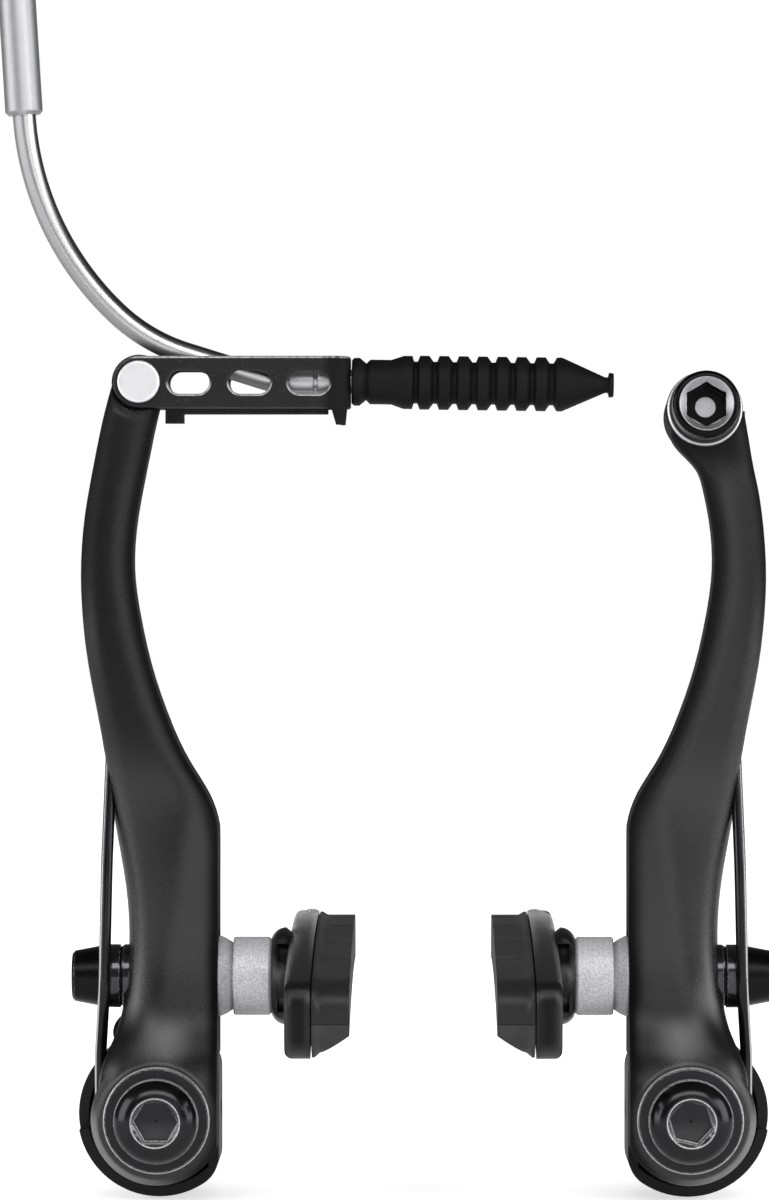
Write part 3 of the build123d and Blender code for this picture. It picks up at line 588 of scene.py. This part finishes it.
def spring_lacquer(colour):
    """Black lacquer on drawn wire, with a thin painted highlight along its outer side."""
    f = new_finish("spring lacquer")
    spot = f.place()
    drawn = f.noise(spot, scale=1.4, stretch=(1, 1, 0.2))
    outward = f.parts_of(f.facing())[0] * (f.parts_of(spot)[0].rise(*MIDDLE_LINE) * 2.0 - 1.0)
    # A thin pale line along the wire's outer side: a painted highlight.
    line = outward.rise(*SPRING_HIGHLIGHT_START) * outward.fall(*SPRING_HIGHLIGHT_END)
    return f.principled(
        Base_Color=f.mix(line, f.tones(drawn, colour, 0.5, 1.0), SPRING_HIGHLIGHT),
        Metallic=0.85,
        Roughness=0.16 + drawn * 0.08,
        Normal=f.bump(drawn, 0.04, FINE_GRAIN),
    )


def moulded_plastic(name, colour, roughness):
    """Black nylon with a fine mould texture."""
    f = new_finish(name)
    spot = f.place()
    texture = f.noise(spot, scale=5.5, detail=3.0)
    cloud = f.noise(spot, scale=0.25, detail=3.0)
    return f.principled(
        Base_Color=f.tones(cloud, colour, 0.85, 1.15),
        Roughness=roughness - 0.05 + texture * 0.1,
        Normal=f.bump(texture, 0.16, MOULD_GRAIN, f.soft_edge(SOFT_EDGE)),
        Specular_IOR_Level=0.25,
    )


def shoe_holder_black(colour):
    """Black coating, glossy on the rounded edges, with a darker, duller copy on the flat ends as painted
    shade.
    """
    f = new_finish("shoe holder black")
    spot = f.place()
    texture = f.noise(spot, scale=5.5, detail=3.0)
    cloud = f.noise(spot, scale=0.25, detail=3.0)
    rounded = f.soft_edge(HOLDER_EDGE)
    # The flat ends take the darker copy below: painted shade.
    end = (-f.parts_of(rounded)[1]).rise(*HOLDER_SHADED_END)
    coated = f.shader(
        Base_Color=f.tones(cloud, colour, 0.85, 1.15),
        Roughness=0.18 + texture * 0.1,
        Normal=f.bump(texture, 0.12, MOULD_GRAIN, rounded),
        Specular_IOR_Level=0.5,
    )
    shaded_copy = f.shader(
        Base_Color=tone(colour, 0.65), Roughness=0.5 + texture * 0.1, Specular_IOR_Level=0.12
    )
    return f.blend(end * 0.9, coated, shaded_copy)


def boot_rubber(colour):
    """Matte black rubber with mould grain and a dusty bloom."""
    f = new_finish("boot rubber")
    spot = f.place()
    grain = f.noise(spot, scale=4.0, detail=4.0)
    bloom = f.noise(spot, scale=0.3, detail=4.0).rise(0.35, 0.75)
    return f.principled(
        Base_Color=f.tones(bloom, colour, 0.85, 1.35),
        Roughness=0.56 + grain * 0.12,
        Normal=f.bump(grain, 0.22, RUBBER_GRAIN, f.soft_edge(SOFT_EDGE)),
        Specular_IOR_Level=0.16,
    )


def pad_compound(colour):
    """Firm black rubber, with painted shade on the front end: a dark line at the step and darker rubber
    above it.
    """
    f = new_finish("pad rubber")
    spot = f.place()
    grain = f.noise(spot, scale=4.0, detail=4.0)
    bloom = f.noise(spot, scale=0.3, detail=4.0).rise(0.35, 0.75)
    _, along, up = f.parts_of(spot)
    end = along.fall(*PAD_END)
    height = up - PAD_STEP
    # Painted shade: a dark line at the step and darker rubber above it, on the front end only.
    step = height.line(*PAD_STEP_SHADE_LINE) * end
    above = height.rise(*PAD_SHADE_ABOVE_STEP) * end
    rubber = f.mix(above, f.tones(bloom, colour, 0.95, 1.25), tone(colour, 0.45))
    return f.principled(
        Base_Color=f.mix(step, rubber, tone(colour, 0.15)),
        Roughness=0.46 + grain * 0.1 - above * 0.12,
        Normal=f.bump(grain, 0.16, RUBBER_GRAIN, f.soft_edge(PAD_EDGE)),
        Specular_IOR_Level=0.25,
    )


def sintered_grey(name, colour, scale):
    """Sand-like sintered metal: pale grains that glint between darker pores."""
    f = new_finish(name)
    spot = f.place()
    sand = f.noise(spot, scale)
    glint = f.noise(spot, scale * 1.6, detail=1.0).rise(0.6, 0.72)
    grey = f.tones(sand.rise(0.3, 0.7), colour, 0.78, 1.18)
    return f.principled(
        Base_Color=f.mix(glint, grey, tone(colour, 1.5)),
        Roughness=0.58 - glint * 0.25,
        Metallic=0.25 + glint * 0.3,
        Normal=f.bump(sand, 0.35, SAND_GRAIN, f.soft_edge(SAND_EDGE)),
    )


def drawn_pipe_steel(colour):
    """Stainless tube polished along its front, duller and with painted shade on the inside and outside of
    the bend.
    """
    f = new_finish("drawn pipe steel")
    marks = f.noise(f.place(), scale=0.5)
    sideways, _, upward = f.parts_of(f.facing())
    toward = sideways * PIPE_SIDEWAYS + upward * PIPE_UPWARD
    # Painted shade: the pipe is painted darker on the side facing left and down, and far darker on the side
    # facing right and up.
    under = toward.fall(*PIPE_SHADED_UNDER)
    beyond = toward.rise(*PIPE_SHADED_BEYOND)
    steel = f.mix(under, f.tones(marks, colour, 1.1, 1.2), tone(colour, 0.5))
    return f.principled(
        Base_Color=f.mix(beyond, steel, tone(colour, 0.2)),
        Metallic=1.0,
        Roughness=0.26 + under * 0.26 + beyond * 0.1 + marks * 0.03,
    )


def turned_ferrule_alloy(colour):
    """Satin alloy with fine turning rings along its axis, and a painted highlight: paler along its front."""
    f = new_finish("turned ferrule alloy")
    spot = f.place(turn=FERRULE_TURN)
    rings = f.noise(spot, scale=6.0, stretch=(0.02, 0.02, 1.0))
    cloud = f.noise(spot, scale=1.6, detail=3.0)
    sideways = f.parts_of(f.facing())[0]
    # Painted highlight: faces turned to the front and a little to the right are painted paler.
    front = sideways.rise(*FERRULE_HIGHLIGHT_LEFT) * sideways.fall(*FERRULE_HIGHLIGHT_RIGHT)
    grain = rings * 0.4 + cloud * 0.6
    return f.principled(
        Base_Color=f.mix(front, f.tones(grain, colour, 0.7, 0.95), f.tones(grain, colour, 1.3, 1.6)),
        Metallic=1.0,
        Roughness=0.44 + rings * 0.1 - front * 0.1,
        Normal=f.bump(rings, 0.08, FINE_GRAIN, f.soft_edge(SOFT_EDGE)),
    )


def bright_steel(name, colour, roughness, marking=1.0):
    """Zinc-plated steel with faint marks of its making."""
    f = new_finish(name)
    marks = f.noise(f.place(), scale=2.2 * marking, detail=3.0)
    return f.principled(
        Base_Color=f.tones(marks, colour, 1.0 - 0.1 * marking, 1.0 + 0.1 * marking),
        Metallic=0.75,
        Roughness=roughness + marks * 0.12,
        Normal=f.bump(marks, 0.05 * marking, FINE_GRAIN, f.soft_edge(SOFT_EDGE)),
    )


def clamp_washer_steel(colour):
    """Zinc-plated washer, bright at its rim, with painted shade inside it where the bolt head shades it."""
    f = new_finish("clamp washer steel")
    across, _, up = f.parts_of(f.place(CLAMP_CENTRE, CLAMP_TILT))
    marks = f.noise(f.place(), scale=2.2, detail=3.0)
    rim = far(across, up).rise(*CLAMP_WASHER_RIM)
    return f.principled(
        # Inside the rim the washer is painted nearly black: painted shade under the bolt head.
        Base_Color=f.mix(rim, tone(colour, 0.08), f.tones(marks, colour, 0.95, 1.15)),
        Metallic=0.75,
        Roughness=0.34 + marks * 0.12,
        Normal=f.bump(marks, 0.05, FINE_GRAIN, f.soft_edge(SOFT_EDGE)),
    )


def link_coating(colour, edge):
    """Black coating of bent sheet with rolling marks along it, worn edges with painted highlights on the
    upper edges, the top edge and the lower slot rims, and painted shade past the bend.
    """
    f = new_finish("link coating")
    spot = f.place()
    rolled = f.noise(spot, scale=2.2, detail=3.0, stretch=(0.12, 1.0, 1.0))
    cloud = f.noise(spot, scale=0.4, detail=4.0)
    scuff = f.noise(spot, scale=3.4, detail=3.0).rise(0.66, 0.74)
    patchy = f.noise(spot, scale=1.6, detail=3.0).rise(0.3, 0.55) * 0.5 + 0.3
    side, _, up = f.parts_of(spot)

    # Painted highlights: pale edges, strongest on the upper edges, a bright line along the top edge and the
    # lower halves of the slot rims; the rest of the pale edge is wear.
    reach = edge * LINK_EDGE_REACH
    upper = f.parts_of(f.soft_edge(reach))[2].rise(*LINK_UPPER_SIDE)
    rubbed = f.noise(spot, scale=1.1, detail=3.0).rise(0.3, 0.6) * 0.4 + 0.25
    wear_and_highlight = f.edge_mask(reach) * rubbed * (upper * 1.3 + 0.15)
    wear_and_highlight = wear_and_highlight.most(up.rise(*LINK_TOP_HIGHLIGHT) * patchy)
    height = up - PIN_HEIGHT
    for middle in LINK_SLOTS:
        past = (abs(side - middle) - (SLOT_HALF - SLOT_ROUND)).most(0.0)
        rim = (far(past, height) - SLOT_ROUND).line(*SLOT_LINE)
        wear_and_highlight = wear_and_highlight.most(rim * height.fall(*SLOT_LOWER_HALF) * patchy)

    base = f.tones(cloud, colour, 0.75, 1.25)
    black = f.mix(rolled.rise(0.5, 0.8), base, tone(colour, 1.5))
    coated = f.shader(
        Base_Color=f.mix(wear_and_highlight.most(scuff * 0.12), black, WORN_EDGE_AND_HIGHLIGHT),
        Roughness=0.38 + cloud * 0.12 - wear_and_highlight * 0.1,
        Metallic=wear_and_highlight * 0.7,
        Normal=f.bump(rolled, 0.08, MOULD_GRAIN, f.soft_edge(edge)),
        Specular_IOR_Level=0.22,
    )
    # A duller copy past the bend, blended in as painted shade.
    shaded_copy = f.shader(Base_Color=base, Roughness=0.6, Specular_IOR_Level=0.06)
    return f.blend(side.rise(*LINK_BEND) * (1.0 - wear_and_highlight), coated, shaded_copy)


def bush_bronze():
    """Plain bronze with faint marks."""
    f = new_finish("bush bronze")
    marks = f.noise(f.place(), scale=3.0, detail=3.0)
    return f.principled(
        Base_Color=f.mix(marks, BRONZE_DARK, BRONZE_PALE),
        Metallic=0.9,
        Roughness=0.35 + marks * 0.15,
        Normal=f.bump(marks, 0.1, MOULD_GRAIN),
    )


def liner_white():
    """White plastic with faint clouding."""
    f = new_finish("liner white")
    cloud = f.noise(f.place(), scale=1.0)
    return f.principled(Base_Color=f.mix(cloud, LINER_DARK, LINER_PALE), Roughness=0.45 + cloud * 0.1)


# New pieces, modelled in edit mode


def start(add, name, **where):
    """Adds a primitive on its own and opens it for editing."""
    bpy.ops.object.select_all(action="DESELECT")
    add(**where)
    piece = bpy.context.object
    piece.name = piece.data.name = name
    bpy.ops.object.mode_set(mode="EDIT")
    return piece


def close(piece, angle):
    """Leaves edit mode with normals outward, smooth shading and the place in the mesh."""
    bpy.ops.mesh.select_all(action="SELECT")
    bpy.ops.mesh.remove_doubles(threshold=0.000001)
    bpy.ops.mesh.normals_make_consistent(inside=False)
    bpy.ops.object.mode_set(mode="OBJECT")
    bpy.ops.object.transform_apply(location=True, rotation=True, scale=True)
    bpy.ops.object.shade_smooth_by_angle(angle=math.radians(angle))


def rings_along(stations):
    """Extrudes the selected ring along Z through stations of distance and radius in millimetres."""
    (at, radius), rest = stations[0], stations[1:]
    for along, wide in rest:
        bpy.ops.mesh.extrude_region_move(TRANSFORM_OT_translate={"value": (0, 0, (along - at) * MM)})
        size = wide / radius
        bpy.ops.transform.resize(value=(size, size, 1), center_override=(0, 0, along * MM))
        at, radius = along, wide


def boot_outline():
    """Distance and radius of the boot's outer skin and then of its bore, in millimetres."""
    outline = [(0.1, BOOT_LIP_BORE), (0.1, 3.3), (0.5, 3.65), (1.3, 3.65), (2.3, 2.8), (2.9, 3.4)]
    outline += [(6.1, 3.4), (8.0, 4.05), (9.3, 4.05)]
    for rib in range(RIB_COUNT):
        base = RIB_START + rib * RIB_PITCH
        outline += [(base - 0.55, VALLEY_RADIUS), (base, VALLEY_RADIUS)]
        outline += [(base + 0.35, RIB_RADIUS), (base + 1.75, RIB_RADIUS)]
    outline += [(CONE_START - 0.6, VALLEY_RADIUS), (CONE_START, VALLEY_RADIUS)]
    outline += [(CONE_START + 0.5, RIB_RADIUS), (CONE_START + 1.3, RIB_RADIUS)]
    outline += [(BOOT_LENGTH - 1.3, 1.2), (BOOT_LENGTH - 0.9, 1.2), (BOOT_LENGTH - 0.7, 1.9)]
    outline += [(BOOT_LENGTH, 1.8), (BOOT_LENGTH, 0.8)]
    outline += [(CONE_START, BOOT_BORE), (2.2, BOOT_BORE), (2.2, BOOT_LIP_BORE)]
    return outline


class BRAKE_OT_rubber_boot(bpy.types.Operator):
    """Models the ribbed rubber boot in front of the link"""

    bl_idname = "brake.rubber_boot"
    bl_label = "Rubber boot"

    def execute(self, context):
        look = context.scene.brake.lead
        outline = boot_outline()
        mouth, radius = outline[0]
        boot = start(
            bpy.ops.mesh.primitive_circle_add, "boot_bellows",
            vertices=look.boot_steps, radius=radius * MM, location=(0, 0, 0),
        )
        bpy.ops.transform.translate(value=(0, 0, mouth * MM))
        rings_along(outline)
        bpy.ops.mesh.select_all(action="DESELECT")
        bpy.ops.mesh.select_non_manifold()
        bpy.ops.mesh.bridge_edge_loops()
        bpy.ops.mesh.select_all(action="SELECT")
        bpy.ops.mesh.normals_make_consistent(inside=False)
        bpy.ops.mesh.select_all(action="DESELECT")
        bpy.ops.mesh.edges_select_sharp(sharpness=math.radians(BOOT_SHARP))
        bpy.ops.mesh.bevel(offset=look.rib_round, segments=3, affect="EDGES", clamp_overlap=True)
        boot.location = BOOT_MOUTH
        boot.rotation_euler = (0, math.pi / 2 + math.radians(BOOT_DROOP), 0)
        close(boot, angle=50)
        dress(boot_rubber(look.boot), boot.name)
        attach(boot, "link_body")
        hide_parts("rubber_boot")
        return {"FINISHED"}


class BRAKE_OT_arms(bpy.types.Operator):
    """Paints both arms"""

    bl_idname = "brake.arms"
    bl_label = "Arms"

    def execute(self, context):
        dress(satin_arm_paint(context.scene.brake.arms), *both("arm"))
        return {"FINISHED"}


class BRAKE_OT_pivots(bpy.types.Operator):
    """Finishes the pivot bolts, washers, bushes and spring holders"""

    bl_idname = "brake.pivots"
    bl_label = "Pivots"

    def execute(self, context):
        look = context.scene.brake.hardware
        bolt = dark_plating("pivot bolt black", look.bolt, 0.2, look.edge, BOLT_HIGHLIGHT_RINGS, KEY_HALF)
        washer = dark_plating("pivot washer black", look.bolt, 0.34, look.edge, WASHER_HIGHLIGHT_RINGS)
        dress(bolt, *both("pivot_bolt"))
        dress(washer, *both("pivot_washer"))
        dress(bush_bronze(), *both("pivot_bush"))
        dress(moulded_plastic("spring holder plastic", look.holder, 0.48), *both("spring_holder"))
        dress(bright_steel("stopper pin steel", look.bright, 0.25), *both("stopper_pin"))
        dress(dark_plating("tension screw black", look.bolt, 0.3, look.edge), *both("tension_screw"))
        return {"FINISHED"}


class BRAKE_OT_springs(bpy.types.Operator):
    """Lacquers the return springs"""

    bl_idname = "brake.springs"
    bl_label = "Return springs"

    def execute(self, context):
        dress(spring_lacquer(context.scene.brake.hardware.spring), *both("return_spring"))
        return {"FINISHED"}


class BRAKE_OT_shoes(bpy.types.Operator):
    """Finishes the shoes, their posts and their washers"""

    bl_idname = "brake.shoes"
    bl_label = "Shoes"

    def execute(self, context):
        look = context.scene.brake.shoes
        steel = context.scene.brake.hardware
        dress(shoe_holder_black(look.holder), *both("shoe_holder"))
        dress(pad_compound(look.pad), *both("brake_pad"))
        dress(sintered_grey("spacer grey", look.spacer, 3.6), *both("concave_spacer"))
        dress(sintered_grey("convex washer grey", tone(look.spacer, 0.75), 3.0), *both("convex_washer"))
        dress(dark_plating("shoe nut black", tone(steel.bolt, 0.4), 0.28, steel.edge), *both("shoe_nut"))
        dress(
            dark_plating("outer washer black", tone(steel.bolt, 2.4), 0.14, steel.edge),
            *both("outer_concave_washer", "outer_convex_washer"),
        )
        dress(bright_steel("post and pin steel", steel.bright, 0.25), *both("shoe_post", "pad_pin"))
        return {"FINISHED"}


class BRAKE_OT_lead(bpy.types.Operator):
    """Finishes the link, its pin and the lead pipe"""

    bl_idname = "brake.lead"
    bl_label = "Link and lead pipe"

    def execute(self, context):
        look = context.scene.brake.lead
        steel = context.scene.brake.hardware
        dress(link_coating(look.link, steel.edge), "lead_link")
        dress(bright_steel("link pin steel", tone(steel.bright, 1.15), 0.3, marking=0.4), "link_pin")
        dress(drawn_pipe_steel(look.pipe), "lead_pipe")
        dress(bright_steel("pipe tip steel", tone(steel.bright, 0.7), 0.24, marking=0.3), "lead_pipe_tip")
        dress(turned_ferrule_alloy(look.ferrule), "lead_ferrule")
        dress(liner_white(), "lead_liner")
        return {"FINISHED"}


class BRAKE_OT_clamp(bpy.types.Operator):
    """Finishes the cable clamp on the right arm"""

    bl_idname = "brake.clamp"
    bl_label = "Cable clamp"

    def execute(self, context):
        steel = context.scene.brake.hardware
        dress(clamp_bolt_black(tone(steel.bolt, 0.25), steel.bright, steel.edge), "anchor_bolt")
        dress(clamp_washer_steel(steel.bright), "anchor_washer")
        return {"FINISHED"}


# Stage


def pale_floor(look):
    """A floor that the camera sees as white, brighter further out, with the object's shadow on it."""
    f = new_finish("pale floor")
    camera, glossy, transmission = f.rays()
    white = camera.most(glossy * look.floor_shine).most(transmission)
    across, along, _ = f.parts_of(f.place())
    away = far(across, along).rise(*FLOOR_FADE) * (1.0 - FLOOR_NEAR) + FLOOR_NEAR
    plain = f.node("ShaderNodeBsdfDiffuse", {}, {"Color": look.floor})
    glow = f.node("ShaderNodeEmission", {}, {"Color": (1, 1, 1), "Strength": white * away})
    both_ways = f.node("ShaderNodeAddShader", {}, {0: plain, 1: glow})
    f.node("ShaderNodeOutputMaterial", {}, {"Surface": both_ways})
    return f.owner


def white_studio(world, look):
    """Surroundings that the camera sees as white, and that metal shows as dim walls round a backdrop."""
    w = Finish(world)
    camera, glossy, transmission = w.rays()
    across, along, up = w.parts_of(w.node("ShaderNodeTexCoord", {}, {}, "Generated"))
    ahead = along / (across * across + along * along + 0.0001) ** 0.5
    backdrop = ahead.rise(*BACKDROP_WIDE) * abs(up).fall(*BACKDROP_STEEP)
    front = (-ahead).rise(*FRONT_WALL) * look.front_light
    shown = glossy * backdrop.most(front).most(look.side_dark)
    level = camera.most(transmission).most(shown).most((1.0 - glossy) * look.soft_light)
    sky = w.node("ShaderNodeBackground", {}, {"Color": (1, 1, 1), "Strength": level})
    w.node("ShaderNodeOutputWorld", {}, {"Surface": sky})


def soft_box(name, place, size, power):
    """A soft rectangular lamp turned to the middle of the brake."""
    bpy.ops.object.select_all(action="DESELECT")
    bpy.ops.object.light_add(type="AREA", location=place)
    lamp = bpy.context.object
    lamp.name = name
    lamp.data.shape = "RECTANGLE"
    lamp.data.size, lamp.data.size_y = size
    lamp.data.energy = power
    lamp.rotation_euler = (Vector(LAMP_TARGET) - Vector(place)).to_track_quat("-Z", "Y").to_euler()


class BRAKE_OT_stage(bpy.types.Operator):
    """Sets the floor, the white surroundings, the lamps and the camera"""

    bl_idname = "brake.stage"
    bl_label = "Stage"

    def execute(self, context):
        scene = context.scene
        look = scene.brake.stage
        low = CAD_BOX[0][2] - FLOOR_GAP
        floor = start(bpy.ops.mesh.primitive_plane_add, "floor", size=FLOOR_SIZE, location=(0, 0, low))
        bpy.ops.mesh.subdivide(number_cuts=2)
        close(floor, angle=30)
        floor.data.materials.append(pale_floor(look))

        scene.world = scene.world or bpy.data.worlds.new("studio")
        white_studio(scene.world, look)
        for name, place, size, power in LAMPS:
            soft_box(name, place, size, power * look.lamp)

        bpy.ops.object.select_all(action="DESELECT")
        bpy.ops.object.camera_add(location=look.camera_place, rotation=(math.pi / 2, 0, look.camera_turn))
        camera = context.object
        camera.name = "photo camera"
        camera.data.lens = look.lens
        camera.data.sensor_fit = "VERTICAL"
        camera.data.sensor_width = camera.data.sensor_height = SENSOR
        camera.data.clip_start, camera.data.clip_end = 0.01, 20.0
        scene.camera = camera
        scene.view_settings.view_transform = "Standard"
        return {"FINISHED"}


STEPS = (
    BRAKE_OT_arms, BRAKE_OT_pivots, BRAKE_OT_springs, BRAKE_OT_shoes,
    BRAKE_OT_lead, BRAKE_OT_rubber_boot, BRAKE_OT_clamp, BRAKE_OT_stage,
)


class BRAKE_PT_panel(bpy.types.Panel):
    """Lists the steps that finish the brake"""

    bl_idname = "BRAKE_PT_panel"
    bl_label = "Linear-pull brake"
    bl_space_type = "VIEW_3D"
    bl_region_type = "UI"
    bl_category = "Brake"

    def draw(self, context):
        for step in STEPS:
            self.layout.operator(step.bl_idname)


CLASSES = (
    ArmSettings, HardwareSettings, ShoeSettings, LeadSettings, StageSettings, BrakeSettings,
    *STEPS, BRAKE_PT_panel,
)


def register():
    for made in CLASSES:
        bpy.utils.register_class(made)
    bpy.types.Scene.brake = PointerProperty(type=BrakeSettings)


def unregister():
    del bpy.types.Scene.brake
    for made in reversed(CLASSES):
        bpy.utils.unregister_class(made)


def main():
    register()
    for step in (
        bpy.ops.brake.arms, bpy.ops.brake.pivots, bpy.ops.brake.springs, bpy.ops.brake.shoes,
        bpy.ops.brake.lead, bpy.ops.brake.rubber_boot, bpy.ops.brake.clamp, bpy.ops.brake.stage,
    ):
        step()


if __name__ == "__main__":
    main()
